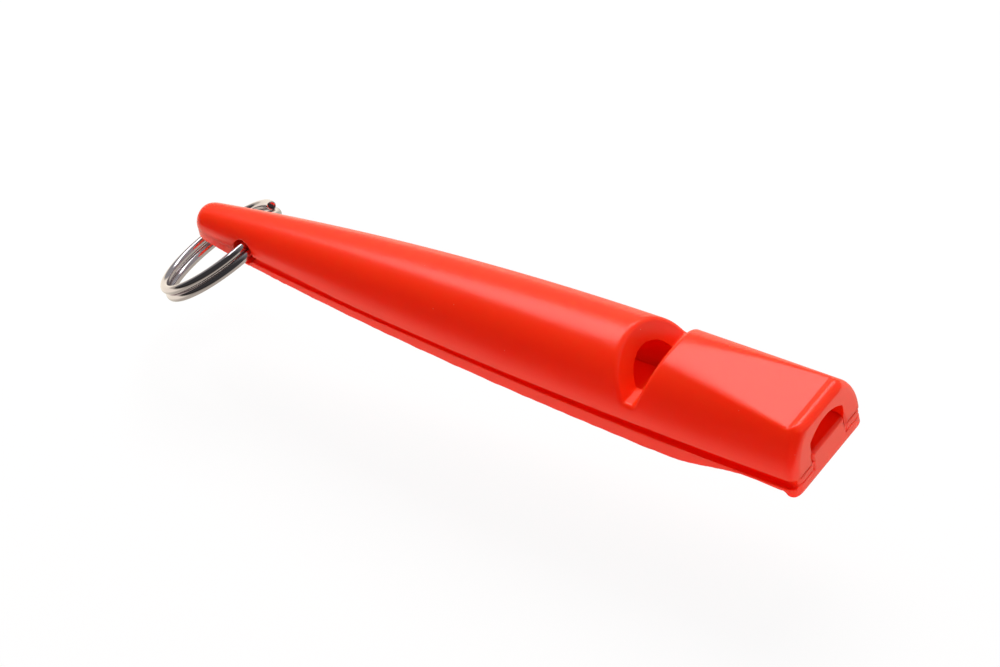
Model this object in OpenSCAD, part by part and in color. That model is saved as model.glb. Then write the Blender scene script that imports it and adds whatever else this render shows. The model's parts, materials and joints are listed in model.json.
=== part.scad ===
// Two-piece moulded dog whistle with a split ring through its tail.
// The body and the base are drawn about the seam between them: x runs from the tail to the mouth
// and z is the height above the seam. Both are then settled, so that the flat underside lies on
// z = 0 with the origin under the middle of the length, +X towards the mouth.

/* [Overall] */
// Length from the tail to the mouth
length = 82; // [74:1:92]
// Width at the mouth
mouth_w = 12.8; // [12:0.2:14.4]
// Width that the plan narrows to at the tail
tail_w = 3.6; // [3.2:0.1:4.2]
// Length of the rounded tail end
nose_len = 2.2; // [1.8:0.1:3]

/* [Body] */
// Height of the crest above the seam, from the window to the mouthpiece
crest_h = 6.7; // [6.4:0.1:7.6]
// Height above the seam that the crest falls to at the tail
tail_h = 2.15; // [2:0.05:3]
// Rounding of the outer edge at the mouth
mouth_round = 0.9; // [0.5:0.1:1.2]

/* [Window] */
// Distance of the window's rear foot from the mouth
window_from_mouth = 21.3; // [19:0.1:24]
// Length of the ledge at the bottom of the window
ledge_len = 1.3; // [1:0.1:1.8]
// Height of the ledge above the seam
ledge_h = 2.1; // [1.6:0.1:2.6]
// Lean of the window's rear face, in degrees
rear_lean = 25; // [16:1:30]
// Lean of the window's front face, in degrees
front_lean = 22; // [14:1:28]
// Rounding of the corners at the bottom of the window
ledge_round = 0.4; // [0.1:0.05:0.5]

/* [Mouthpiece] */
// Height of the sloping flat above the seam where it meets the collar
flat_h = 5.15; // [4.8:0.05:5.6]
// Height of the rounded collar above the end of the flat
collar_step = 0.25; // [0.1:0.05:0.4]

/* [Windway] */
// Width of the windway
windway_w = 6.2; // [5:0.1:7]
// Height of the windway's side walls above the seam
windway_wall_h = 2.7; // [2.2:0.1:3]
// Height of the windway's arched roof above the seam
windway_roof_h = 3.95; // [3.6:0.05:4.2]
// Height of the windway's floor above the seam at the mouth
floor_mouth_h = 1.2; // [0.8:0.1:1.6]
// Height of the windway's floor above the seam at the window
floor_exit_h = 2.6; // [1.8:0.1:2.8]

/* [Chambers] */
// Width of the tone chamber
chamber_w = 6.6; // [5.6:0.1:7.2]
// Length of the tone chamber behind the window
chamber_len = 12; // [9:0.5:16]
// Height of the tone chamber's side walls above the seam
chamber_wall_h = 2.9; // [2.4:0.1:3.2]
// Height of the tone chamber's arched roof above the seam
chamber_roof_h = 4.6; // [4.2:0.1:5]
// Wall between the tone chamber and the cored tail
partition = 2; // [1.4:0.1:3]
// Wall thickness round the cored tail
core_wall = 1.6; // [1.2:0.1:2]

/* [Base] */
// Thickness of the base at the tail
base_tail_t = 1.25; // [1.1:0.05:1.5]
// Thickness of the base below the window's rear foot
base_belly_t = 3; // [2.6:0.1:3.6]
// Height of the groove below the seam along the sides
groove_h = 1.05; // [0.6:0.05:1.1]
// Height of the groove below the seam at the mouth
groove_mouth_h = 0.35; // [0.2:0.05:0.5]
// Depth of the groove at the sides
groove_depth = 0.5; // [0.3:0.05:0.8]
// Depth of the groove at the mouth
groove_mouth_depth = 0.15; // [0.1:0.05:0.3]
// Wall between the ring hole and the start of the groove
groove_wall = 0.3; // [0.2:0.05:0.6]
// Rise of the underside at the tail's end
tail_rise = 0.3; // [0.1:0.05:0.6]
// Distance from the mouth at which the underside starts to rise
relief_from_mouth = 15.1; // [12:0.1:18]
// Length of the rise
relief_ramp = 6.7; // [4:0.1:8]
// Height of the risen underside above the flat one
relief_h = 1.75; // [1.2:0.05:2]
// Radius of the tooth lip under the mouth
lip_r = 0.75; // [0.4:0.05:0.8]
// Clearance each side between the windway's floor block and the body
block_clear = 0.05; // [0.02:0.01:0.1]

/* [Split ring] */
// Outer diameter of the ring
ring_d = 15.8; // [14:0.2:20]
// Diameter of the ring's wire
wire_d = 1; // [0.8:0.05:1.1]
// Gap between the ring's two turns
turn_gap = 0.42; // [0.41:0.01:0.5]
// Clearance round the two turns in the ring hole
hole_clear = 0.23; // [0.2:0.01:0.3]
// Wall between the tail's end and the ring hole
hole_wall = 6.4; // [5:0.1:7]
// Thickness of the base below the ring hole
hole_floor = 0.3; // [0.3:0.05:0.6]
// Angle that the ring hangs below the tail, in degrees
droop = 35.5; // [10:0.5:80]
// How far the ring has slid towards the near side
ring_slide = 0.45; // [0:0.05:0.5]
// Place of the ring's lower end, in degrees past the hole towards the far side
end_deg = 20; // [0:1:40]
// Stretch in which the wire crosses from one turn to the other, in degrees
cross_deg = 36; // [24:1:60]

/* [Hidden] */

// How fast the plan and the crest narrow towards the tail, and how blunt the tail's end is
plan_taper = 2.4;
crest_taper = 2;
nose_power = 3;
// Least height of the straight side below the arched section
side_min = 0.2;
// How far cuts run past the surfaces that they open
over = 1;

// Steps round the nose, along the body, round the mouth's edge, over the arch and round small arcs
nose_steps = 7;
body_steps = 26;
round_steps = 4;
arch_steps = 28;
core_steps = 10;
arc_steps = 6;
// Facets of the round holes and channels
round_fn = 96;
// Rings in each turn of the split ring, and the sides of its wire
turn_rings = 36;
wire_sides = 10;

window_x = length - window_from_mouth;
base_slope = (base_belly_t - base_tail_t) / window_x;
settle_deg = atan(base_slope);
hole_d = 2 * wire_d + turn_gap + 2 * hole_clear;
hole_x = hole_wall + hole_d / 2;
hole_up = hole_floor + hole_d / 2;
hole_z = (hole_up - hole_x * sin(settle_deg)) / cos(settle_deg) - base_tail_t;
core_x0 = hole_x + hole_d / 2 + core_wall;
core_x1 = window_x - chamber_len - partition;
flat_x0 = window_x + ledge_len + (crest_h - ledge_h) * tan(front_lean);
flat_x1 = length - mouth_round - sqrt(pow(mouth_round, 2) - pow(mouth_round - collar_step, 2));
groove_x0 = hole_x + hole_d / 2 + groove_wall;
lip_x = length - lip_r;

// Outline of the body: half width of the plan, height of the crest, and the rounding at both ends
function half_w(x) = mouth_w / 2 - (mouth_w - tail_w) / 2 * pow(max(0, 1 - x / length), plan_taper);
function crest(x) = crest_h - (crest_h - tail_h) * pow(max(0, 1 - x / window_x), crest_taper);
function nose(x) = x >= nose_len ? 1 : pow(1 - pow(1 - x / nose_len, nose_power), 1 / nose_power);
function past_round(x) = max(0, x - length + mouth_round);
function inset_at(x) = mouth_round - sqrt(max(0, pow(mouth_round, 2) - pow(past_round(x), 2)));
function plan_w(x) = half_w(x) * nose(x) - inset_at(x);
function under(x) = -base_tail_t - base_slope * x;

// Points of an arc from angle a to angle b
function arc(x, z, r, a, b) =
    [for (i = [0:arc_steps]) let (t = a + (b - a) * i / arc_steps) [x + r * cos(t), z + r * sin(t)]];

// Arched section at x, drawn in by a wall and carried down below the seam
function section(x, wall, drop) =
    let (
        w = plan_w(x) - wall,
        h = crest(x) * nose(x) - inset_at(x) - wall,
        side = max(h - w, side_min)
    )
    concat(
        [[x, -w, -drop]],
        [for (i = [0:arch_steps]) let (t = 180 * i / arch_steps) [x, -w * cos(t), side + (h - side) * sin(t)]],
        [[x, w, -drop]]
    );

nose_x = [for (i = [1:nose_steps]) nose_len * (1 - cos(90 * i / nose_steps))];
body_x = [for (i = [1:body_steps - 1]) nose_len + (length - mouth_round - nose_len) * i / body_steps];
round_x = [for (i = [0:round_steps]) length - mouth_round * (1 - sin(90 * i / round_steps))];
body_stations = concat(nose_x, body_x, round_x);
core_stations = [for (i = [0:core_steps]) core_x0 + (core_x1 - core_x0) * i / core_steps];

// Where a point given about the seam lies on the settled part
function settled_x(x, z) = x * cos(settle_deg) - (z + base_tail_t) * sin(settle_deg) - length / 2;
hole_at = [settled_x(hole_x, hole_z), 0, hole_up];

// Lays parts drawn about the seam on their underside
module settled() {
    translate([-length / 2, 0, 0])
        rotate([0, -settle_deg, 0])
            translate([0, 0, base_tail_t])
                children();
}

// Carries an outline in y and z along x
module along(x0, x1) {
    translate([x0, 0, 0])
        rotate([90, 0, 90])
            linear_extrude(x1 - x0)
                children();
}

// Carries an outline in x and z across the whistle
module across(w) {
    rotate([90, 0, 0])
        linear_extrude(w, center = true)
            children();
}

// Closed skin through sections of equal counts of points, each in its own plane
module skin(sections) {
    n = len(sections[0]);
    last = len(sections) - 1;
    sides = [
        for (s = [0:last - 1], i = [0:n - 1])
            let (a = s * n + i, b = s * n + (i + 1) % n)
            each [[a, b, b + n], [a, b + n, a + n]]
    ];
    caps = [[for (i = [n - 1:-1:0]) i], [for (i = [0:n - 1]) last * n + i]];
    polyhedron(points = [for (s = sections) each s], faces = concat(sides, caps));
}

// Outline of a channel with straight walls and an arched roof, open below the seam
module channel(w, wall_h, roof_h) {
    rise = roof_h - wall_h;
    r = (pow(w / 2, 2) + pow(rise, 2)) / (2 * rise);
    intersection() {
        translate([-w / 2, -over])
            square([w, roof_h + over]);
        translate([0, roof_h - r])
            circle(r, $fn = round_fn);
    }
}

// Notch of the window: a ledge with rounded corners between two leaning faces
module window_notch() {
    top = crest_h + over;
    rear_in = ledge_round * (1 - sin(rear_lean)) / cos(rear_lean);
    front_in = ledge_round * (1 - sin(front_lean)) / cos(front_lean);
    across(2 * mouth_w)
        polygon(concat(
            [[window_x - (top - ledge_h) * tan(rear_lean), top]],
            arc(window_x + rear_in, ledge_h + ledge_round, ledge_round, 180 + rear_lean, 270),
            arc(window_x + ledge_len - front_in, ledge_h + ledge_round, ledge_round, 270, 360 - front_lean),
            [[window_x + ledge_len + (top - ledge_h) * tan(front_lean), top]]
        ));
}

// What is cut away above the mouthpiece's sloping flat and the rounded collar at its end
module flat_cut() {
    top = crest_h + over;
    collar_z = flat_h + collar_step - mouth_round;
    across(2 * mouth_w)
        polygon(concat(
            [[flat_x0, top], [flat_x0, crest_h]],
            arc(length - mouth_round, collar_z, mouth_round, 180 - asin((flat_h - collar_z) / mouth_round), 0),
            [[length + over, collar_z], [length + over, top]]
        ));
}

// Hole through the tail for the split ring
module ring_hole() {
    translate([hole_x, 0, hole_z])
        rotate([90, 0, 0])
            cylinder(d = hole_d, h = 2 * mouth_w, center = true, $fn = round_fn);
}

// Upright prism on the whistle's plan, drawn in at the sides and at the mouth
module plan(side_in, mouth_in) {
    k = (length - mouth_in) / length;
    near = [for (x = body_stations) [x * k, side_in - plan_w(x)]];
    far = [for (p = near) [p[0], -p[1]]];
    translate([0, 0, -mouth_w])
        linear_extrude(2 * mouth_w)
            polygon(concat(near, [for (i = [len(far) - 1:-1:0]) far[i]]));
}

// Side of the base: a flat underside, raised at the tail and under the mouthpiece, and the tooth lip
module base_side() {
    heel_x = hole_x - hole_d / 2;
    ramp_x0 = length - relief_from_mouth;
    ramp_x1 = ramp_x0 + relief_ramp;
    lip_z = under(lip_x) + relief_h;
    polygon(concat(
        [
            [0, 0],
            [0, under(0) + tail_rise],
            [heel_x, under(heel_x)],
            [ramp_x0, under(ramp_x0)],
            [ramp_x1, under(ramp_x1) + relief_h]
        ],
        arc(lip_x, lip_z, lip_r, 180, 360),
        [[length, 0]]
    ));
}

// What is cut away round the base to leave the groove under the body, lower along the sides than at the mouth
module groove_cut() {
    side_len = length - mouth_round - groove_x0;
    difference() {
        union() {
            translate([groove_x0, -mouth_w, -groove_h])
                cube([side_len, 2 * mouth_w, groove_h + over]);
            translate([groove_x0, -mouth_w, -groove_mouth_h])
                cube([length, 2 * mouth_w, groove_mouth_h + over]);
        }
        plan(groove_depth, groove_mouth_depth);
    }
}

// Block that fills the bottom of the body's channel and carries the windway's floor
module windway_block() {
    x0 = window_x + ledge_len;
    across(windway_w - 2 * block_clear)
        polygon([[x0, -groove_h], [x0, floor_exit_h], [length, floor_mouth_h], [length, -groove_h]]);
}

module body_shell() {
    color([0.95, 0.22, 0.13])
        settled()
            difference() {
                skin([for (x = body_stations) section(x, 0, 0)]);
                window_notch();
                flat_cut();
                along(window_x, length + over)
                    channel(windway_w, windway_wall_h, windway_roof_h);
                along(window_x - chamber_len, window_x + ledge_len)
                    channel(chamber_w, chamber_wall_h, chamber_roof_h);
                skin([for (x = core_stations) section(x, core_wall, over)]);
                ring_hole();
            }
}

module base_plate() {
    color([0.88, 0.18, 0.11])
        settled()
            difference() {
                union() {
                    difference() {
                        intersection() {
                            plan(0, 0);
                            across(2 * mouth_w)
                                base_side();
                        }
                        groove_cut();
                    }
                    windway_block();
                }
                ring_hole();
            }
}

// Centre line of the split ring's wire: two turns about its centre, the wire crossing between them
ring_r = (ring_d - wire_d) / 2;
turn_pitch = wire_d + turn_gap;
ring_sweep = 720 - cross_deg;
ring_steps = round(ring_sweep * turn_rings / 360);
to_hole = [cos(droop), 0, sin(droop)];
ring_up = [-sin(droop), 0, cos(droop)];
hole_sag = ring_r - sqrt(pow(ring_r, 2) - pow(half_w(hole_x) + ring_slide, 2));
ring_centre = hole_at - (ring_r - hole_sag / 2) * to_hole - [0, ring_slide, 0];

function smooth(t) = let (u = min(1, max(0, t))) u * u * (3 - 2 * u);
function ring_angle(i) = end_deg - ring_sweep * i / ring_steps;
function ring_out(i) = cos(ring_angle(i)) * to_hole + [0, sin(ring_angle(i)), 0];
function ring_lift(i) = turn_pitch * (smooth((ring_sweep * i / ring_steps - 360 + cross_deg) / cross_deg) - 0.5);
function ring_point(i) = ring_centre + ring_r * ring_out(i) + ring_lift(i) * ring_up;

ring_points = [for (i = [0:ring_steps]) ring_point(i)];
ring_gap = min([
    for (i = [0:ring_steps], j = [0:ring_steps])
        if (j - i > turn_rings / 2) norm(ring_points[i] - ring_points[j]) - wire_d
]);
echo(least_gap_between_turns = ring_gap, ring_hole_axis = hole_at, ring_centre = ring_centre);

module split_ring() {
    color([0.78, 0.76, 0.73])
        skin([
            for (i = [0:ring_steps])
                [
                    for (k = [0:wire_sides - 1])
                        let (t = -360 * k / wire_sides)
                        ring_points[i] + wire_d / 2 * (cos(t) * ring_out(i) + sin(t) * ring_up)
                ]
        ]);
}

body_shell();
base_plate();
split_ring();
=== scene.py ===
"""Moulded dog whistle: a body and a base welded together along a seam, and a split ring in the tail."""
import json
import math

import bpy
import numpy as np
from bpy.props import FloatProperty, FloatVectorProperty, PointerProperty
from mathutils import Matrix, Quaternion, Vector


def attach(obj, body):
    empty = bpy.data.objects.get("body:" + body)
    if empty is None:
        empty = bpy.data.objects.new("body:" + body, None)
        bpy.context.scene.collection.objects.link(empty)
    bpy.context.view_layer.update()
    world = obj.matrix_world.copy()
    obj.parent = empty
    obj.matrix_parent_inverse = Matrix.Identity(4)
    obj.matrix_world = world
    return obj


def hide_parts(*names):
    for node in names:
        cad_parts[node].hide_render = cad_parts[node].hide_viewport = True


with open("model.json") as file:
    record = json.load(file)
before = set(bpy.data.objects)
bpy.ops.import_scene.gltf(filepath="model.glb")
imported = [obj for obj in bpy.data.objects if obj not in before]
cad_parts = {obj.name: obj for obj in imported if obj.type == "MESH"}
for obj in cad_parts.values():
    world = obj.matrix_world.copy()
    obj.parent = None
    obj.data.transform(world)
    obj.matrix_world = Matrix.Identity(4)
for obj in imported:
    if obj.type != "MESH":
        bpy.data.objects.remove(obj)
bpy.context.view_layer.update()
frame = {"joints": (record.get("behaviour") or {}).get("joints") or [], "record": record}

bl_info = {
    "name": "Moulded Dog Whistle",
    "version": (1, 0, 0),
    "blender": (4, 5, 0),
    "location": "View3D > Sidebar > Whistle",
    "description": "Builds a two-part moulded dog whistle with a split ring, and a pale stage for it",
    "category": "Add Mesh",
}

MM = 0.001
EYE_MOUNT = next(m for m in frame["record"]["mounts"] if m["name"] == "lanyard_eye")
HOLE_AT = Vector(frame["joints"][0]["pos_m"])
SLOPE_STEP = 0.004 * MM
# Share of a cell's strongest slope below which its point isn't moved along a direction
WEAKEST_SLOPE = 0.08
SHORTEST = 1e-12
CREASE = math.radians(38)
RING_ROWS, WIRE_SIDES = 480, 28
# Share of the wire's radius at which the rings of faces on its cut ends stop
CAP_CORE = 0.02
WIRE_UV = "wire"
FULL_TURN = 2 * math.pi
# Values of the noises between which the roughness changes
SKIN_NOISE, LINE_NOISE = (0.3, 0.7), (0.3, 0.75)
SENSOR_W = 36
CLIP_NEAR, CLIP_FAR = 0.01, 20
DOWN = (0, 0, -1)
WHITE = (1, 1, 1, 1)


def size(name, millimetres, description):
    """Length property, given in millimetres and kept in metres."""
    return FloatProperty(
        name=name, description=description, default=millimetres * MM, unit="LENGTH", precision=5
    )


def angle(name, degrees, description):
    """Angle property, given in degrees and kept in radians."""
    return FloatProperty(
        name=name, description=description, default=math.radians(degrees), subtype="ANGLE"
    )


def share(name, value, description):
    """Plain number from 0 to 1."""
    return FloatProperty(
        name=name, description=description, default=value, min=0, max=1, subtype="FACTOR", precision=4
    )


def number(name, value, description):
    """Plain number."""
    return FloatProperty(name=name, description=description, default=value)


def colour(name, value, description):
    """Linear colour."""
    return FloatVectorProperty(
        name=name, description=description, default=value, size=3, min=0, max=1, subtype="COLOR"
    )


class OutlineSizes(bpy.types.PropertyGroup):
    """Outline that the body and the base share, drawn about the seam between them."""

    length: size("Length", 82, "From the tail to the mouth")
    mouth_w: size("Mouth width", 12.8, "Width at the mouth")
    tail_w: size("Tail width", 3.6, "Width that the plan narrows to at the tail")
    plan_taper: number("Plan taper", 2.4, "How late the plan narrows towards the tail")
    crest_h: size("Crest height", 6.7, "Height of the crest above the seam at the window")
    tail_h: size("Tail height", 2.15, "Height that the crest falls to at the tail")
    side_min: size("Least side", 0.2, "Least height of the straight side below the arch")
    tail_round: size("Tail rounding", 2, "Length of the rounded tail end")
    tail_power: number("Tail bluntness", 3, "Power of the superellipse at the tail's end")
    mouth_round: size("Mouth rounding", 1.15, "Radius of the outer edge at the mouth")
    window_x: size("Window", 60.7, "Distance of the window's rear foot from the tail")
    base_tail_t: size("Base at the tail", 1.25, "Thickness of the base at the tail")
    base_belly_t: size("Base at the window", 3, "Thickness of the base below the window")
    seam_edge: size("Seam edge", 0.05, "Rounding of both mouldings' edges along the seam")
    seam_fade: number("Seam fade", 2, "Start of that rounding's run-out, in mouth roundings from the mouth")
    hole_d: size("Ring hole", 2.88, "Diameter of the hole through the tail")
    hole_edge: size("Ring hole edge", 0.15, "Rounding of the ring hole's edges")
    mesh_step: size("Mesh step", 0.15, "Size of the cells in which the surface is found")
    mesh_stride: size("Mesh stride", 0.5, "Length of the cells along the plain stretches")


class BodySizes(bpy.types.PropertyGroup):
    """Upper moulding: window, mouthpiece flat, windway and tone chamber."""

    ledge_len: size("Ledge length", 1.3, "Length of the ledge at the bottom of the window")
    ledge_h: size("Ledge height", 2.1, "Height of the ledge above the seam")
    ledge_rear: size("Ledge rear corner", 0.12, "Hollow between the ledge and the window's rear face")
    ledge_front: size("Ledge front corner", 0.4, "Hollow between the ledge and the window's front face")
    rear_lean: angle("Rear lean", 25, "Lean of the window's rear face")
    front_lean: angle("Front lean", 22, "Lean of the window's front face")
    rear_rim: size("Rear rim", 0.4, "Rounding of the window's rear rim")
    front_rim: size("Front rim", 0.5, "Rounding of the window's front rim")
    flat_h: size("Flat height", 5.15, "Height of the sloping flat where it meets the collar")
    flat_ease: size("Flat edge", 0.24, "Band in which the flat eases into the arch at its front end")
    flat_ease_rear: size("Flat edge at the window", 0.5, "The same band at the window")
    collar_ease: size("Collar edge", 0.35, "Band in which the collar eases into the arch")
    collar_start: number("Collar start", 1.5, "Start of that band, in collar radii from the mouth")
    collar_r: size("Collar radius", 1, "Radius of the rounded collar at the mouth")
    collar_step: size("Collar step", 0.25, "Height of the collar above the end of the flat")
    collar_fillet: size("Collar fillet", 0.14, "Hollow between the flat and the collar")
    windway_w: size("Windway width", 6.2, "Width of the windway")
    windway_wall_h: size("Windway wall", 2.7, "Height of the windway's walls above the seam")
    windway_roof_h: size("Windway roof", 3.95, "Height of the windway's roof above the seam")
    chamber_w: size("Chamber width", 6.7, "Width of the tone chamber")
    chamber_wall_h: size("Chamber wall", 2, "Height of the tone chamber's walls above the seam")
    chamber_roof_h: size("Chamber roof", 4.6, "Height of the tone chamber's roof above the seam")
    chamber_fillet: size("Chamber fillet", 2, "Hollow corners along the tone chamber's floor")
    chamber_len: size("Chamber length", 12, "Length of the tone chamber behind the window")
    channel_edge: size("Channel edge", 0.06, "Rounding of the windway's and chamber's mouths")


class BaseSizes(bpy.types.PropertyGroup):
    """Lower moulding: underside, groove, windway floor and tooth lip."""

    lower_edge: size("Lower edge", 0.12, "Rounding of the underside's edges")
    corner_r: size("Corner radius", 1.4, "Radius of the base's corners at the mouth")
    groove_from_hole: size("Groove start", 0.8, "Distance of the groove's start from the ring hole's axis")
    groove_tail_h: size("Groove at the tail", 0.65, "Height of the groove below the seam at the tail")
    groove_h: size("Groove height", 1.3, "Height of the groove along the mouthpiece's sides")
    groove_swell_x: size("Groove swell", 30, "Distance from the tail at which the groove starts to widen")
    groove_end: size("Groove end", 0.35, "Distance of the groove's end from the mouth")
    groove_fade: size("Groove fade", 2.5, "Distance from the mouth at which the groove starts to fade")
    groove_shoal: share("Groove shoal", 0.4, "Share of its depth that the groove loses as it fades")
    groove_reach: number("Groove reach", 0.8, "Depth of the groove for each unit of its height")
    rebate_h: size("Rebate", 0.35, "Height of the rebate that the groove cuts into the body at the tail")
    rebate_x: size("Rebate run", 13, "Distance from the tail at which the rebate starts to get lower")
    rebate_fall: size("Rebate fall", 17, "Length over which the rebate runs out into the seam")
    line_drop: size("Line drop", 0.83, "Distance below the seam of the lower fine line at the mouth")
    line_depth: size("Line depth", 0.075, "Depth of the two fine lines at the mouth")
    line_w: size("Line width", 0.11, "Half the width of those lines")
    side_line_depth: size("Side line depth", 0.16, "Depth of the lines beside the windway's floor")
    side_line_w: size("Side line width", 0.18, "Half the width of those lines")
    groove_edge: size("Groove edge", 0.12, "Rounding of the groove's outer edge")
    groove_cove: size("Groove cove", 0.35, "Hollow in the corner of the groove")
    tail_rise: size("Tail rise", 0.3, "Rise of the underside at the tail's end")
    relief_from_mouth: size("Relief", 16.5, "Distance from the mouth at which the underside starts to rise")
    relief_ramp: size("Relief ramp", 10.5, "Length of the rise")
    relief_h: size("Relief height", 1.78, "Height of the risen underside above the flat one")
    lip_r: size("Lip radius", 0.75, "Radius of the tooth lip under the mouth")
    lip_end: size("Lip end", 0.3, "Rounding of the lip's two ends")
    lip_fillet: size("Lip fillet", 0.5, "Hollow between the lip and the underside")
    floor_mouth_h: size("Floor at the mouth", 1.2, "Height of the windway's floor at the mouth")
    floor_exit_h: size("Floor at the window", 2.6, "Height of the windway's floor at the window")
    block_clear: size("Block clearance", 0.02, "Clearance beside the windway's floor block")
    block_edge: size("Block edge", 0.45, "Rounding of the floor's edge at the mouth")


class RingSizes(bpy.types.PropertyGroup):
    """Split ring of two turns of wire."""

    outer_d: size("Outer diameter", 15.8, "Outer diameter of the ring")
    wire_d: size("Wire", 1, "Diameter of the wire")
    turn_gap: size("Turn gap", 0.03, "Gap between the two turns")
    end_place: angle("Lower end", 20, "Place of the lower end, past the hole towards the far side")
    cross_over: angle("Crossing", 36, "Stretch in which the wire crosses between the turns")
    end_chamfer: size("End chamfer", 0.08, "Chamfer round the wire's cut ends")


class PlasticFinish(bpy.types.PropertyGroup):
    """Gloss moulded plastic."""

    base: colour("Colour", (0.98, 0.039, 0.005), "Colour of the plastic")
    roughness: share("Roughness", 0.27, "Roughness of the gloss")
    subsurface: share("Subsurface", 0.6, "Share of light that passes through the skin")
    depth: size("Subsurface depth", 1.5, "Depth that light reaches below the skin")
    bleed: colour("Bleed", (1, 0.07, 0.025), "Shares of that depth that red, green and blue reach")
    waves: number("Waves", 340, "Waves to a metre that moulding leaves in the skin")
    uneven_skin: size("Uneven skin", 0.002, "Height of those waves")
    uneven_gloss: share("Uneven gloss", 0.03, "How much the roughness falls in the glossier patches")
    dust: colour("Dust", (0.95, 0.2, 0.13), "Colour of the dust specks")
    dust_cells: number("Dust cells", 420, "Cells to a metre, each with one speck of dust")
    speck: number("Speck", 0.03, "Radius of a speck of dust, as a share of its cell")
    speck_core: number("Speck core", 0.018, "Radius within which a speck is at its densest")
    dust_cover: share("Dust cover", 0.8, "Share of the plastic's colour that a speck hides")


class SteelFinish(bpy.types.PropertyGroup):
    """Bright nickel on drawn wire."""

    base: colour("Colour", (0.66, 0.61, 0.64), "Colour of the nickel")
    roughness: share("Roughness", 0.09, "Roughness of the polish")
    drawn: share("Drawn lines", 0.03, "Roughness that the drawing lines add")
    drawn_along: number("Lines along", 6, "Lengths of drawing line along the wire")
    drawn_round: number("Lines round", 60, "Drawing lines round the wire")


class StageSettings(bpy.types.PropertyGroup):
    """Floor, lights and camera."""

    floor_z: size("Floor", -13.6, "Height of the floor, below the whole swing of the ring")
    floor_w: size("Floor width", 6000, "Width of the floor")
    floor_white: share("Floor white", 0.93, "Share of plain white in the floor as the camera sees it")
    floor_grey: share("Floor grey", 0.9, "Share of light that the floor's paper gives back")
    # The floor's brightness in a gloss is painted light, emitted rather than lit: painted shade on the near
    # side, painted light past both ends.
    sheet: number("Sheet", 0.58, "Brightness of the floor in a gloss")
    sheet_dark: number("Dark sheet", 0.02, "Brightness of the floor in a gloss on the near side")
    sheet_dark_y: size("Dark sheet's edge", -65, "Place across at which the sheet is darkest")
    sheet_light_y: size("Sheet's edge", -20, "Place across at which it reaches its brightness")
    end_sheet: number("End sheet", 1.15, "Brightness of the floor in a gloss past both ends")
    end_dark_y: size("End sheet's dark edge", -50, "Place across at which the end sheets fade out")
    end_light_y: size("End sheet's edge", -25, "Place across at which they reach their brightness")
    end_rise_x: size("End sheet's start", 35, "Distance along at which the end sheets start")
    end_full_x: size("End sheet's rise", 55, "Distance along at which they reach their brightness")
    end_fall_x: size("End sheet's fall", 100, "Distance along at which they start to fade")
    end_gone_x: size("End sheet's end", 160, "Distance along at which they are gone")
    sheet_tint: colour("Sheet tint", (1, 0.93, 0.78), "Colour of the floor in a gloss")
    room_front: share("Room in front", 0.05, "Brightness of the room on the near side")
    room_back: share("Room behind", 0.35, "Brightness of the room on the far side")
    room_turn_from: number("Room's turn", -0.25, "Slope across at which the room starts to get brighter")
    room_turn_to: number("Room's turn end", 0.15, "Slope across at which it is as bright as behind")
    key: number("Key", 3.1, "Brightness of the key light's face")
    fill: number("Fill", 9, "Brightness of the fill light's face")
    warm: number("Warm", 6, "Brightness of the warm lights' faces")
    warm_tint: colour("Warm tint", (1, 0.1, 0.05), "Colour of the warm lights")
    chamber_glow: number("Chamber glow", 0.65, "Light that comes through the tone chamber's roof")
    windway_glow: number("Windway glow", 0.45, "Light that comes through the windway's roof")
    glow_below: size("Glow below", 0.7, "Distance of that light below the roofs")
    glow_from: share("Glow start", 0.7, "Start of the chamber's glow, as a share of its length")
    glow_to: share("Glow end", 0.1, "End of the chamber's glow, as a share of its length")
    azimuth: angle("Azimuth", 42.653, "Camera's turn about the whistle")
    elevation: angle("Elevation", 43.46, "Camera's angle above the horizon")
    roll: angle("Roll", -11.366, "Camera's turn about its line of sight")
    distance: size("Distance", 526.4, "Distance from the camera to the point it looks at")
    aim: FloatVectorProperty(
        name="Aim",
        description="Point that the camera looks at",
        default=(1.494 * MM, -2.473 * MM, 4.274 * MM),
        subtype="TRANSLATION",
        precision=5,
    )
    lens: number("Lens", 180, "Focal length on a 36 mm wide sensor")


class WhistleSettings(bpy.types.PropertyGroup):
    """All that the panel shows."""

    outline: PointerProperty(type=OutlineSizes)
    body: PointerProperty(type=BodySizes)
    base: PointerProperty(type=BaseSizes)
    ring: PointerProperty(type=RingSizes)
    plastic: PointerProperty(type=PlasticFinish)
    steel: PointerProperty(type=SteelFinish)
    stage: PointerProperty(type=StageSettings)


def settings():
    """The whistle's settings in the scene."""
    return bpy.context.scene.whistle


# Fields: each is below zero inside its solid and above zero outside it, in metres.

def both(a, b, r):
    """Where two solids overlap: the greater field, with their meeting edge rounded to radius r."""
    corner = np.hypot(np.maximum(a + r, 0), np.maximum(b + r, 0))
    return np.minimum(np.maximum(a, b), -r) + corner


def either(a, b, r):
    """Two solids joined: the lesser field, with the corner between them filled to radius r."""
    return -both(-a, -b, r)


def eased(a, b, band):
    """Overlap of solids that meet at a shallow angle, the edge eased where their fields differ little.

    Within the band the greater field grows by the square of what is left of the band, over 4 bands.
    """
    left = np.maximum(band - np.abs(a - b), 0)
    return np.maximum(a, b) + left * left / (4 * band)


def without(a, b, r):
    """One solid cut by another, with the cut's edge rounded to radius r."""
    return both(a, -b, r)


def smooth_step(t):
    """Climb from 0 to 1 that is level at both ends: 3t^2 - 2t^3."""
    t = np.clip(t, 0, 1)
    return t * t * (3 - 2 * t)


def half_width(o, x):
    """Half the plan's width: half the mouth's, less a power of the distance left to the mouth."""
    left = np.maximum(0, 1 - x / o.length)
    return o.mouth_w / 2 - (o.mouth_w - o.tail_w) / 2 * left ** o.plan_taper


def crest(o, x):
    """Height of the crest: level past the window, falling with the square of the distance behind it."""
    left = np.maximum(0, 1 - x / o.window_x)
    return o.crest_h - (o.crest_h - o.tail_h) * left ** 2


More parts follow.
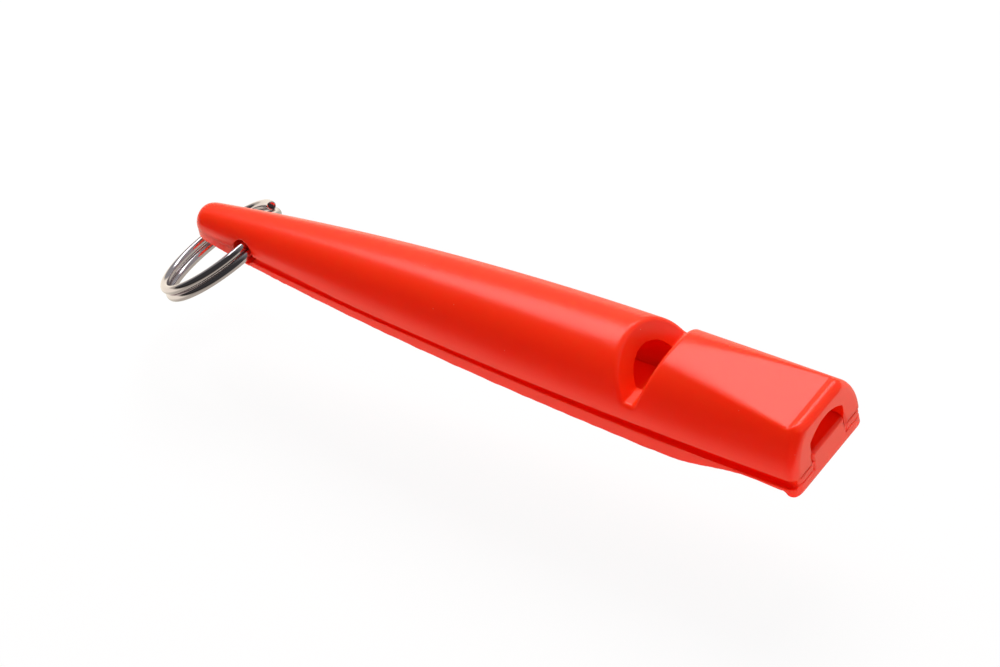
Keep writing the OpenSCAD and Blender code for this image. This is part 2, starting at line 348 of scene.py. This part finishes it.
def underside(o, x):
    """Height of the flat underside: a straight line from the tail's thickness to the belly's."""
    return -o.base_tail_t - (o.base_belly_t - o.base_tail_t) * x / o.window_x


def settle_turn(o):
    """Angle between the seam and the flat underside."""
    return math.atan((o.base_belly_t - o.base_tail_t) / o.window_x)


def envelope(o, x, y, z):
    """Straight sides under a half-round arch, tapering along x to a blunt tail, and rounded at the mouth.

    The tail's end is a superellipse: powers of the distances past the start of its rounding are added.
    """
    w = half_width(o, x)
    side = np.maximum(crest(o, x) - w, o.side_min)
    arch = np.hypot(y, np.maximum(z - side, 0)) - w
    past_side = np.maximum(arch + o.tail_round, 0) ** o.tail_power
    past_end = np.maximum(o.tail_round - x, 0) ** o.tail_power
    rounded = (past_side + past_end) ** (1 / o.tail_power)
    tail = np.minimum(np.maximum(arch, -x), -o.tail_round) + rounded
    return both(tail, x - o.length, o.mouth_round)


def channel(y, z, w, wall_h, roof_h, r):
    """Straight walls under an arched roof: two half planes and a circle through the walls' tops."""
    rise = roof_h - wall_h
    roof_r = (w * w / 4 + rise * rise) / (2 * rise)
    roof = np.hypot(y, np.maximum(z - roof_h + roof_r, 0)) - roof_r
    return both(np.abs(y) - w / 2, roof, r)


def hole_place(o):
    """Place of the ring hole's axis about the seam, from the ring's hinge."""
    turn = settle_turn(o)
    from_tail = HOLE_AT.x + o.length / 2
    hole_x = from_tail * math.cos(turn) + HOLE_AT.z * math.sin(turn)
    hole_z = HOLE_AT.z * math.cos(turn) - from_tail * math.sin(turn) - o.base_tail_t
    return hole_x, hole_z


def ring_hole(o, x, z):
    """Round hole across the tail."""
    hole_x, hole_z = hole_place(o)
    return np.hypot(x - hole_x, z - hole_z) - o.hole_d / 2


def groove_start(o):
    """Distance from the tail at which the groove starts."""
    return hole_place(o)[0] + settings().base.groove_from_hole


def groove_height(o, b, x):
    """Height of the groove, which climbs smoothly towards the mouth."""
    swell = smooth_step((x - b.groove_swell_x) / (o.length - b.groove_swell_x))
    return b.groove_tail_h + (b.groove_h - b.groove_tail_h) * swell


def groove_depth(o, b, x):
    """Depth of the groove: in proportion to its height, and fading before the mouth."""
    fade = smooth_step((x - o.length + b.groove_fade) / (b.groove_fade - b.groove_end))
    return b.groove_reach * groove_height(o, b, x) * (1 - b.groove_shoal * fade)


def rebate(o, b, x, y, z):
    """Upper part of the groove, cut into the body's edge from the tail on.

    Its height falls smoothly to as far below the seam as it starts above it.
    """
    height = b.rebate_h - 2 * b.rebate_h * smooth_step((x - b.rebate_x) / b.rebate_fall)
    inside = half_width(o, x) - groove_depth(o, b, x) - np.abs(y)
    return np.maximum(np.maximum(z - height, inside), groove_start(o) - x)


def mouth_lines(b, y, z):
    """Depth of the fine lines pressed into the mouth's face: bell curves of the distances from them.

    Two run outwards on each side of the windway, along the seam and below it. A deeper one comes down
    from the windway's floor to the lower of them.
    """
    out = np.abs(y) - settings().body.windway_w / 2
    level = np.minimum(np.abs(z), np.abs(z + b.line_drop))
    outward = np.hypot(level, np.minimum(out, 0)) / b.line_w
    past_ends = np.minimum(z + b.line_drop, 0) + np.maximum(z - b.floor_mouth_h, 0)
    beside = np.hypot(out, past_ends) / b.side_line_w
    return np.maximum(b.line_depth * np.exp(-(outward ** 2)), b.side_line_depth * np.exp(-(beside ** 2)))


def seam_edge(o, x):
    """Rounding of both edges along the seam: it runs out before the mouth, where they lie flush."""
    return o.seam_edge * (1 - smooth_step((x - o.length) / o.mouth_round + o.seam_fade))


def window_notch(o, b, x, z):
    """Wedge over a ledge: the overlap of a leaning half plane on each side and the space above."""
    rear = -(x - o.window_x) * math.cos(b.rear_lean) - (z - b.ledge_h) * math.sin(b.rear_lean)
    front_x = o.window_x + b.ledge_len
    front = (x - front_x) * math.cos(b.front_lean) - (z - b.ledge_h) * math.sin(b.front_lean)
    return both(both(rear, b.ledge_h - z, b.ledge_rear), front, b.ledge_front)


def mouthpiece_roof(o, b, x, z):
    """Space below the sloping flat, joined to a round collar with a hollow between them."""
    r = b.collar_r
    flat_x0 = o.window_x + b.ledge_len + (o.crest_h - b.ledge_h) * math.tan(b.front_lean)
    flat_x1 = o.length - r - math.sqrt(r * r - (r - b.collar_step) ** 2)
    slope = math.atan2(o.crest_h - b.flat_h, flat_x1 - flat_x0)
    flat = (x - flat_x0) * math.sin(slope) + (z - o.crest_h) * math.cos(slope)
    collar = np.hypot(x - o.length + r, z - b.flat_h - b.collar_step + r) - r
    return either(flat, collar, b.collar_fillet)


def roof_ease(o, b, x):
    """Band of the roof's edges: it narrows along the flat and changes to the collar's at the mouth."""
    flat_x0 = o.window_x + b.ledge_len
    along = smooth_step((x - flat_x0) / (o.length - flat_x0))
    on_collar = smooth_step((x - o.length) / b.collar_r + b.collar_start)
    ease = b.flat_ease_rear + (b.flat_ease - b.flat_ease_rear) * along
    return ease + (b.collar_ease - ease) * on_collar


def body_field(x, y, z):
    """Arched envelope above the seam, cut by the flat, the window, the windway and the chamber."""
    o, b, base = settings().outline, settings().body, settings().base
    solid = np.maximum(envelope(o, x, y, z), x - o.length + mouth_lines(base, y, z))
    solid = both(solid, -z, seam_edge(o, x))
    solid = eased(solid, mouthpiece_roof(o, b, x, z), roof_ease(o, b, x))
    forward = smooth_step((x - o.window_x) / b.ledge_len)
    rim = b.rear_rim + (b.front_rim - b.rear_rim) * forward
    solid = without(solid, window_notch(o, b, x, z), rim)
    edge = b.channel_edge * smooth_step(z / b.ledge_h)
    windway = channel(y, z, b.windway_w, b.windway_wall_h, b.windway_roof_h, b.channel_edge)
    solid = without(solid, np.maximum(windway, o.window_x - x), edge)
    chamber = channel(y, z, b.chamber_w, b.chamber_wall_h, b.chamber_roof_h, b.channel_edge)
    chamber = both(chamber, -z, b.chamber_fillet)
    ends = np.maximum(o.window_x - b.chamber_len - x, x - o.window_x - b.ledge_len)
    solid = without(solid, np.maximum(chamber, ends), edge)
    solid = without(solid, rebate(o, base, x, y, z), o.seam_edge)
    return without(solid, ring_hole(o, x, z), o.hole_edge)


def base_field(x, y, z):
    """Envelope below the seam over the underside, grooved along the seam, with the windway's floor."""
    o, b, body = settings().outline, settings().base, settings().body
    heel = np.maximum(0, 1 - x / (hole_place(o)[0] - o.hole_d / 2))
    rise = b.relief_h * smooth_step((x - o.length + b.relief_from_mouth) / b.relief_ramp)
    under = underside(o, x) + b.tail_rise * heel + rise - z
    lip_x = o.length - b.lip_r
    lip_z = underside(o, lip_x) + b.relief_h
    under = either(under, np.hypot(x - lip_x, z - lip_z) - b.lip_r, b.lip_fillet)
    side = np.abs(y) - half_width(o, x)
    mouth = x - o.length + mouth_lines(b, y, z)
    plan = np.maximum(envelope(o, x, y, z), both(side, mouth, b.corner_r))
    at_mouth = smooth_step((x - o.length + 2 * b.lip_r) / b.lip_r)
    lower_edge = b.lower_edge + (b.lip_end - b.lower_edge) * at_mouth
    solid = both(both(plan, under, lower_edge), z, seam_edge(o, x))
    height = groove_height(o, b, x)
    kept = either(side + groove_depth(o, b, x), z + height, b.groove_cove)
    kept = either(kept, np.minimum(x - groove_start(o), o.length - b.groove_end - x), b.groove_edge)
    solid = both(solid, kept, b.groove_edge)
    block_x = o.window_x + body.ledge_len
    climb = (b.floor_exit_h - b.floor_mouth_h) / (o.length - block_x)
    top = z - b.floor_mouth_h + climb * (x - o.length)
    across = np.abs(y) - body.windway_w / 2 + b.block_clear
    block = both(np.maximum(across, top), mouth, b.block_edge)
    block = np.maximum(block, np.maximum(block_x - x, -b.groove_h - z))
    return without(np.minimum(solid, block), ring_hole(o, x, z), o.hole_edge)


def slope_of(field, points, h):
    """Unit direction in which the field climbs, from differences over a short step h."""
    columns = []
    for axis in range(3):
        step = np.zeros(3)
        step[axis] = h
        columns.append(field(*(points + step).T) - field(*(points - step).T))
    climb = np.stack(columns, axis=1)
    return climb / np.maximum(np.linalg.norm(climb, axis=1, keepdims=True), SHORTEST)


def skin_of(field, axes):
    """Closed surface where a field is zero, as points and quads.

    The field is worked out on a grid with its planes at the given places on each axis. Each grid edge
    along which its sign changes gives a crossing point and the slope there. Each cell with such edges
    gets one point, which is the least squares meeting of the planes through its crossings, and each
    crossed edge gets one quad between the four cells round it.
    """
    count = tuple(len(axis) for axis in axes)
    value = field(*np.meshgrid(*axes, indexing="ij"))

    def grid_points(index):
        return np.stack([axes[i][index[:, i]] for i in range(3)], axis=1)

    cells_of, points, slopes, quads = [], [], [], []
    unit = np.eye(3, dtype=int)
    for axis in range(3):
        u, v = unit[(axis + 1) % 3], unit[(axis + 2) % 3]
        before = np.take(value, range(count[axis] - 1), axis)
        after = np.take(value, range(1, count[axis]), axis)
        crossed = np.argwhere((before < 0) != (after < 0))
        a, b = before[tuple(crossed.T)], after[tuple(crossed.T)]
        near, far = grid_points(crossed), grid_points(crossed + unit[axis])
        point = near + (a / (a - b))[:, None] * (far - near)
        round_edge = np.stack([crossed - u - v, crossed - v, crossed, crossed - u], axis=1)
        cells = np.ravel_multi_index(tuple(np.moveaxis(round_edge, 2, 0)), count)
        quads.append(np.where((a < 0)[:, None], cells, cells[:, ::-1]))
        cells_of.append(cells.ravel())
        points.append(np.repeat(point, 4, axis=0))
        slopes.append(np.repeat(slope_of(field, point, SLOPE_STEP), 4, axis=0))
    used, cell = np.unique(np.concatenate(cells_of), return_inverse=True)
    points, slopes = np.concatenate(points), np.concatenate(slopes)

    def cell_sum(values):
        return np.bincount(cell, values, len(used))

    middle = np.stack([cell_sum(points[:, i]) for i in range(3)], axis=1)
    middle /= cell_sum(np.ones(len(cell)))[:, None]
    reach = np.sum(slopes * (points - middle[cell]), axis=1)
    pull = np.stack([cell_sum(slopes[:, i] * reach) for i in range(3)], axis=1)
    spread = np.empty((len(used), 3, 3))
    for i in range(3):
        for j in range(3):
            spread[:, i, j] = cell_sum(slopes[:, i] * slopes[:, j])
    strength, direction = np.linalg.eigh(spread)
    kept = strength > WEAKEST_SLOPE * strength[:, 2:]
    along = np.einsum("nij,ni->nj", direction, pull)
    along = np.where(kept, along / np.where(kept, strength, 1), 0)
    corner = np.stack(np.unravel_index(used, count), axis=1)
    found = middle + np.einsum("nij,nj->ni", direction, along)
    found = np.clip(found, grid_points(corner), grid_points(corner + 1))
    return found, np.searchsorted(used, np.concatenate(quads))


def planes(stretches):
    """Places of grid planes over stretches that follow on one another, each with its own spacing."""
    places = []
    for start, end, spacing in stretches:
        places.append(np.linspace(start, end, math.ceil((end - start) / spacing), endpoint=False))
    return np.append(np.concatenate(places), stretches[-1][1])


def moulding_grid(o, low_z, high_z):
    """Grid round a moulding: wide along its plain stretches, finest at the mouth and about the seam."""
    fine, wide, finest = o.mesh_step, o.mesh_stride, o.mesh_step / 3
    room = 4 * fine
    marks = [-room, groove_start(o) + 2 * o.hole_d, o.window_x - o.crest_h, o.window_x + o.crest_h,
             o.length - o.hole_d, o.length - 2 * fine, o.length + room]
    spacing = [fine, wide, fine, wide, fine, finest]
    half = o.mouth_w / 2 + room
    bottom = min(low_z, -2 * room) - room
    return (
        planes([(marks[i], marks[i + 1], spacing[i]) for i in range(len(spacing))]),
        planes([(-half, half, fine)]),
        planes([(bottom, -2 * room, fine), (-2 * room, fine, finest), (fine, high_z + room, fine)]),
    )


def settled(o, points):
    """Points drawn about the seam, turned and lowered so that the flat underside lies on z = 0."""
    turn = settle_turn(o)
    x, y, z = points.T
    z = z + o.base_tail_t
    return np.stack(
        [
            x * math.cos(turn) - z * math.sin(turn) - o.length / 2,
            y,
            x * math.sin(turn) + z * math.cos(turn),
        ],
        axis=1,
    )


def add_piece(name, points, faces, material, uv=None):
    """Mesh object at the origin, smooth but for edges sharper than the crease, with UVs if it has any."""
    mesh = bpy.data.meshes.new(name)
    mesh.from_pydata(points.tolist(), [], faces)
    if uv is not None:
        mesh.uv_layers.new(name=WIRE_UV).data.foreach_set("uv", uv.ravel())
    mesh.materials.append(material)
    mesh.shade_smooth()
    mesh.set_sharp_from_angle(angle=CREASE)
    if mesh.validate():
        raise RuntimeError(f"{name}: the surface has faults")
    piece = bpy.data.objects.new(name, mesh)
    bpy.context.scene.collection.objects.link(piece)
    return piece


def add_node(tree, kind, attributes=None, inputs=None):
    """New node with its attributes, its own numbers and its links in place."""
    made = tree.nodes.new(kind)
    for key, value in (attributes or {}).items():
        setattr(made, key, value)
    for key, value in (inputs or {}).items():
        if isinstance(value, bpy.types.NodeSocket):
            tree.links.new(value, made.inputs[key])
        else:
            made.inputs[key].default_value = value
    return made


def ramp(tree, value, start, end, low=0, high=1):
    """Number that goes from low to high while a value goes from start to end, and is level past both."""
    return add_node(
        tree,
        "ShaderNodeMapRange",
        inputs={"Value": value, "From Min": start, "From Max": end, "To Min": low, "To Max": high},
    ).outputs["Result"]


def blend(tree, factor, a, b, kind="FLOAT"):
    """Mix of two numbers, or of two colours if the kind is RGBA."""
    return add_node(
        tree, "ShaderNodeMix", {"data_type": kind}, {"Factor": factor, "A": a, "B": b}
    ).outputs["Result"]


def reckoned(tree, operation, *values):
    """Number worked out from one or two others."""
    return add_node(tree, "ShaderNodeMath", {"operation": operation}, dict(enumerate(values))).outputs[0]


def new_material(name):
    """Material with an empty node tree and its output."""
    material = bpy.data.materials.new(name)
    material.use_nodes = True
    material.node_tree.nodes.clear()
    return material, material.node_tree, material.node_tree.nodes.new("ShaderNodeOutputMaterial")


def opaque(rgb):
    """Colour with full cover, for a colour socket."""
    return (*rgb, 1)


def moulded_plastic():
    """Gloss plastic that light passes into, slightly uneven from the mould, with a few specks of dust."""
    found = bpy.data.materials.get("moulded_plastic")
    if found:
        return found
    p = settings().plastic
    material, tree, out = new_material("moulded_plastic")
    place = add_node(tree, "ShaderNodeTexCoord").outputs["Object"]
    grains = add_node(
        tree, "ShaderNodeTexVoronoi", inputs={"Vector": place, "Scale": p.dust_cells}
    ).outputs["Distance"]
    specks = ramp(tree, grains, p.speck, p.speck_core, 0, p.dust_cover)
    dusty = blend(tree, specks, opaque(p.base), opaque(p.dust), "RGBA")
    waves = add_node(
        tree, "ShaderNodeTexNoise", inputs={"Vector": place, "Scale": p.waves, "Detail": 2}
    ).outputs["Fac"]
    gloss = ramp(tree, waves, *SKIN_NOISE, p.roughness - p.uneven_gloss, p.roughness)
    skin = add_node(
        tree, "ShaderNodeBump", inputs={"Height": waves, "Strength": 1, "Distance": p.uneven_skin}
    ).outputs["Normal"]
    shader = add_node(
        tree,
        "ShaderNodeBsdfPrincipled",
        inputs={
            "Base Color": dusty,
            "Roughness": gloss,
            "Normal": skin,
            "Subsurface Weight": p.subsurface,
            "Subsurface Radius": tuple(p.bleed),
            "Subsurface Scale": p.depth,
        },
    )
    tree.links.new(shader.outputs["BSDF"], out.inputs["Surface"])
    return material


def bright_nickel():
    """Polished nickel with fine drawing lines that run along the wire."""
    s = settings().steel
    material, tree, out = new_material("bright_nickel")
    place = add_node(tree, "ShaderNodeUVMap", {"uv_map": WIRE_UV}).outputs["UV"]
    drawn = add_node(
        tree,
        "ShaderNodeMapping",
        inputs={"Vector": place, "Scale": (s.drawn_along, s.drawn_round, 1)},
    ).outputs["Vector"]
    lines = add_node(
        tree, "ShaderNodeTexNoise", inputs={"Vector": drawn, "Scale": 1, "Detail": 1}
    ).outputs["Fac"]
    polish = ramp(tree, lines, *LINE_NOISE, s.roughness, s.roughness + s.drawn)
    shader = add_node(
        tree,
        "ShaderNodeBsdfPrincipled",
        inputs={"Base Color": opaque(s.base), "Metallic": 1, "Roughness": polish},
    )
    tree.links.new(shader.outputs["BSDF"], out.inputs["Surface"])
    return material


def ring_path(r, rows):
    """Two turns about the ring's centre: a circle whose height steps from one turn to the other.

    Returns the points, the outward direction and the direction along the wire at each row.
    """
    centre = np.array(EYE_MOUNT["pos_m"])
    up = np.array(EYE_MOUNT["axis"])
    to_hole = np.array([up[2], 0, -up[0]])
    far = np.array([0.0, 1, 0])
    sweep = 2 * FULL_TURN - r.cross_over
    gone = np.linspace(0, sweep, rows)
    turned = r.end_place - gone
    out = np.outer(np.cos(turned), to_hole) + np.outer(np.sin(turned), far)
    lift = smooth_step((gone - FULL_TURN + r.cross_over) / r.cross_over) - 0.5
    pitch = r.wire_d + r.turn_gap
    points = centre + (r.outer_d - r.wire_d) / 2 * out + np.outer(pitch * lift, up)
    tangent = np.gradient(points, axis=0)
    tangent /= np.linalg.norm(tangent, axis=1, keepdims=True)
    return points, out, tangent


def wire_tube(r, rows, sides):
    """Circle of the wire's radius carried along the ring's path, closed at each end by a chamfered face.

    Returns the points, the faces and a UV for each corner of each face: along the wire and round it.
    """
    points, out, tangent = ring_path(r, rows)
    across = np.cross(tangent, out)
    radius = r.wire_d / 2
    rim = 1 - r.end_chamfer / radius
    turn = (np.arange(sides) * FULL_TURN / sides)[:, None]
    circle = np.cos(turn) * out[:, None] + np.sin(turn) * across[:, None]
    caps = []
    for row, way in ((0, -1), (rows - 1, 1)):
        face = points[row] + way * r.end_chamfer * tangent[row]
        caps.append([face + radius * reach * circle[row] for reach in (rim, rim / 2, CAP_CORE)])
    start, finish = caps
    grid = np.concatenate([start[::-1], points[:, None] + radius * circle, finish])
    i, j = np.meshgrid(np.arange(len(grid) - 1), np.arange(sides), indexing="ij")
    steps = ((0, 0), (0, 1), (1, 1), (1, 0))
    corners = np.stack([np.stack([i + a, j + b], axis=-1) for a, b in steps], axis=2)
    quads = corners[..., 0] * sides + corners[..., 1] % sides
    first = np.arange(sides)
    last = first + (len(grid) - 1) * sides
    faces = quads.reshape(-1, 4).tolist() + [first[::-1].tolist(), last.tolist()]
    uv = np.concatenate([corners.reshape(-1, 2) / [rows, sides], np.zeros((2 * sides, 2))])
    return grid.reshape(-1, 3), faces, uv


class WHISTLE_OT_body_shell(bpy.types.Operator):
    """Adds the upper moulding with its window, windway and tone chamber"""

    bl_idname = "whistle.body_shell"
    bl_label = "Body shell"

    def execute(self, context):
        o = settings().outline
        points, quads = skin_of(body_field, moulding_grid(o, 0, o.crest_h))
        piece = add_piece("body_moulding", settled(o, points), quads.tolist(), moulded_plastic())
        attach(piece, "whistle")
        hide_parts("body_shell")
        return {"FINISHED"}


class WHISTLE_OT_base_plate(bpy.types.Operator):
    """Adds the lower moulding with its groove, windway floor and tooth lip"""

    bl_idname = "whistle.base_plate"
    bl_label = "Base plate"

    def execute(self, context):
        o, b = settings().outline, settings().base
        points, quads = skin_of(base_field, moulding_grid(o, underside(o, o.length), b.floor_exit_h))
        piece = add_piece("base_moulding", settled(o, points), quads.tolist(), moulded_plastic())
        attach(piece, "whistle")
        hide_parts("base_plate")
        return {"FINISHED"}


class WHISTLE_OT_split_ring(bpy.types.Operator):
    """Adds the split ring as two turns of wire"""

    bl_idname = "whistle.split_ring"
    bl_label = "Split ring"

    def execute(self, context):
        points, faces, uv = wire_tube(settings().ring, RING_ROWS, WIRE_SIDES)
        piece = add_piece("ring_wire", points, faces, bright_nickel(), uv)
        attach(piece, "ring")
        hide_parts("split_ring")
        return {"FINISHED"}


def pale_floor(s):
    """Flat floor that the camera sees as white, with the object's soft shadow on it.

    In a gloss it shows as an emitted sheet of painted light: darker on the near side, brightest past both
    ends.
    """
    far = s.floor_w / 2
    corners = [(x, y, s.floor_z) for x, y in ((-far, -far), (far, -far), (far, far), (-far, far))]
    mesh = bpy.data.meshes.new("floor")
    mesh.from_pydata(corners, [], [(0, 1, 2, 3)])
    material, tree, out = new_material("pale_floor")
    path = add_node(tree, "ShaderNodeLightPath").outputs
    to_camera = path["Is Camera Ray"]
    place = add_node(tree, "ShaderNodeTexCoord").outputs["Object"]
    axes = add_node(tree, "ShaderNodeSeparateXYZ", inputs={"Vector": place}).outputs
    # Painted reflection: the floor's glossy brightness is emitted, with painted shade on the near side and
    # painted light past both ends.
    near_sheet = ramp(tree, axes["Y"], s.sheet_dark_y, s.sheet_light_y, s.sheet_dark, s.sheet)
    along = reckoned(tree, "ABSOLUTE", axes["X"])
    end_level = ramp(tree, axes["Y"], s.end_dark_y, s.end_light_y, 0, s.end_sheet)
    falling = ramp(tree, along, s.end_gone_x, s.end_fall_x, 0, end_level)
    end_sheet = ramp(tree, along, s.end_rise_x, s.end_full_x, 0, falling)
    sheet = reckoned(tree, "MAXIMUM", near_sheet, end_sheet)
    level = blend(tree, to_camera, sheet, 1)
    tint = blend(tree, to_camera, opaque(s.sheet_tint), WHITE, "RGBA")
    grey = opaque([s.floor_grey] * 3)
    paper = add_node(tree, "ShaderNodeBsdfDiffuse", inputs={"Color": grey}).outputs[0]
    white = add_node(tree, "ShaderNodeEmission", inputs={"Color": tint, "Strength": level}).outputs[0]
    seen = reckoned(tree, "MULTIPLY", to_camera, s.floor_white)
    for ray in ("Is Glossy Ray", "Is Transmission Ray"):
        seen = reckoned(tree, "MAXIMUM", seen, path[ray])
    mixed = add_node(tree, "ShaderNodeMixShader", inputs={"Fac": seen, 1: paper, 2: white}).outputs[0]
    tree.links.new(mixed, out.inputs["Surface"])
    mesh.materials.append(material)
    floor = bpy.data.objects.new("floor", mesh)
    bpy.context.scene.collection.objects.link(floor)


def studio_world(s):
    """Room that the camera sees as white, and that is brighter on the far side than on the near one."""
    world = bpy.data.worlds.new("studio")
    bpy.context.scene.world = world
    world.use_nodes = True
    tree = world.node_tree
    tree.nodes.clear()
    path = add_node(tree, "ShaderNodeLightPath").outputs
    way = add_node(tree, "ShaderNodeTexCoord").outputs["Generated"]
    far_side = add_node(tree, "ShaderNodeSeparateXYZ", inputs={"Vector": way}).outputs["Y"]
    room = ramp(tree, far_side, s.room_turn_from, s.room_turn_to, s.room_front, s.room_back)
    level = blend(tree, path["Is Camera Ray"], room, 1)
    sky = add_node(tree, "ShaderNodeBackground", inputs={"Color": WHITE, "Strength": level}).outputs[0]
    out = tree.nodes.new("ShaderNodeOutputWorld")
    tree.links.new(sky, out.inputs["Surface"])


def softbox(name, place, facing, wide, deep, radiance, turn=0, tint=WHITE[:3], in_gloss=False):
    """Rectangular lamp that faces one way, turned about that way, and kept out of the gloss if need be."""
    lamp = bpy.data.lights.new(name, "AREA")
    lamp.shape = "RECTANGLE"
    lamp.size, lamp.size_y = wide, deep
    lamp.energy = radiance * math.pi * wide * deep
    lamp.color = tint
    holder = bpy.data.objects.new(name, lamp)
    holder.location = place
    aimed = Vector(facing).to_track_quat("-Z", "Y") @ Quaternion((0, 0, 1), turn)
    holder.rotation_euler = aimed.to_euler()
    holder.visible_camera = False
    holder.visible_glossy = in_gloss
    bpy.context.scene.collection.objects.link(holder)


def wall_glow(name, start, end, height, wide, radiance):
    """Warm lamp inside a hollow, below its roof, for the light that comes through the plastic above it."""
    place = settled(settings().outline, np.array([[(start + end) / 2, 0, height]]))[0]
    softbox(name, place, DOWN, end - start, wide, radiance, tint=settings().stage.warm_tint)


def photo_camera(s):
    """Camera on a line of sight given by azimuth and elevation, then rolled about it."""
    back = Vector(
        (
            math.sin(s.azimuth) * math.cos(s.elevation),
            -math.cos(s.azimuth) * math.cos(s.elevation),
            math.sin(s.elevation),
        )
    )
    level = Vector((math.cos(s.azimuth), math.sin(s.azimuth), 0))
    upright = back.cross(level)
    right = level * math.cos(s.roll) + upright * math.sin(s.roll)
    up = upright * math.cos(s.roll) - level * math.sin(s.roll)
    data = bpy.data.cameras.new("camera")
    data.sensor_width, data.lens = SENSOR_W, s.lens
    data.clip_start, data.clip_end = CLIP_NEAR, CLIP_FAR
    camera = bpy.data.objects.new("camera", data)
    turn = Matrix((right, up, back)).transposed()
    camera.matrix_world = Matrix.Translation(Vector(s.aim) + back * s.distance) @ turn.to_4x4()
    bpy.context.scene.collection.objects.link(camera)
    bpy.context.scene.camera = camera


class WHISTLE_OT_stage(bpy.types.Operator):
    """Adds the pale floor, the soft lights and the camera"""

    bl_idname = "whistle.stage"
    bl_label = "Stage"

    def execute(self, context):
        s = settings().stage
        context.scene.view_settings.view_transform = "Standard"
        pale_floor(s)
        studio_world(s)
        softbox(
            "key_light", place=(-0.213, 0.375, 0.5), facing=DOWN, wide=0.31, deep=0.79,
            radiance=s.key, turn=-0.56, in_gloss=True,
        )
        softbox(
            "fill_light", place=(-0.15, 0.5, 0.6), facing=DOWN, wide=0.5, deep=0.5, radiance=s.fill
        )
        softbox(
            "near_warm", place=(0.08, -0.55, 0.05), facing=(-0.05, 0.55, -0.03), wide=1, deep=0.1,
            radiance=s.warm, tint=s.warm_tint,
        )
        softbox(
            "front_warm", place=(0.5, -0.1, 0.04), facing=(-0.5, 0.1, -0.02), wide=0.26, deep=0.08,
            radiance=s.warm, tint=s.warm_tint,
        )
        o, b = settings().outline, settings().body
        wall_glow(
            "chamber_glow",
            start=o.window_x - s.glow_from * b.chamber_len,
            end=o.window_x - s.glow_to * b.chamber_len,
            height=b.chamber_roof_h - s.glow_below,
            wide=b.chamber_w / 2,
            radiance=s.chamber_glow,
        )
        wall_glow(
            "windway_glow",
            start=o.window_x + 2 * b.ledge_len,
            end=o.length - b.ledge_len,
            height=b.windway_roof_h - s.glow_below,
            wide=b.windway_w / 2,
            radiance=s.windway_glow,
        )
        photo_camera(s)
        return {"FINISHED"}


class WHISTLE_PT_panel(bpy.types.Panel):
    """Lists the whistle's pieces and their sizes"""

    bl_idname = "WHISTLE_PT_panel"
    bl_label = "Moulded Dog Whistle"
    bl_space_type = "VIEW_3D"
    bl_region_type = "UI"
    bl_category = "Whistle"

    def draw(self, context):
        for operator in OPERATORS:
            self.layout.operator(operator.bl_idname)
        for group in WhistleSettings.__annotations__:
            values = getattr(settings(), group)
            box = self.layout.box()
            box.label(text=group.capitalize())
            for name in type(values).__annotations__:
                box.prop(values, name)


OPERATORS = (WHISTLE_OT_body_shell, WHISTLE_OT_base_plate, WHISTLE_OT_split_ring, WHISTLE_OT_stage)
CLASSES = (
    OutlineSizes,
    BodySizes,
    BaseSizes,
    RingSizes,
    PlasticFinish,
    SteelFinish,
    StageSettings,
    WhistleSettings,
    *OPERATORS,
    WHISTLE_PT_panel,
)


def register():
    """Registers the classes and puts the settings on the scene."""
    for cls in CLASSES:
        bpy.utils.register_class(cls)
    bpy.types.Scene.whistle = PointerProperty(type=WhistleSettings)


def unregister():
    """Takes the settings off the scene and the classes out again."""
    del bpy.types.Scene.whistle
    for cls in reversed(CLASSES):
        bpy.utils.unregister_class(cls)


def main():
    """Builds the whistle and its stage."""
    register()
    bpy.ops.whistle.body_shell()
    bpy.ops.whistle.base_plate()
    bpy.ops.whistle.split_ring()
    bpy.ops.whistle.stage()


if __name__ == "__main__":
    main()
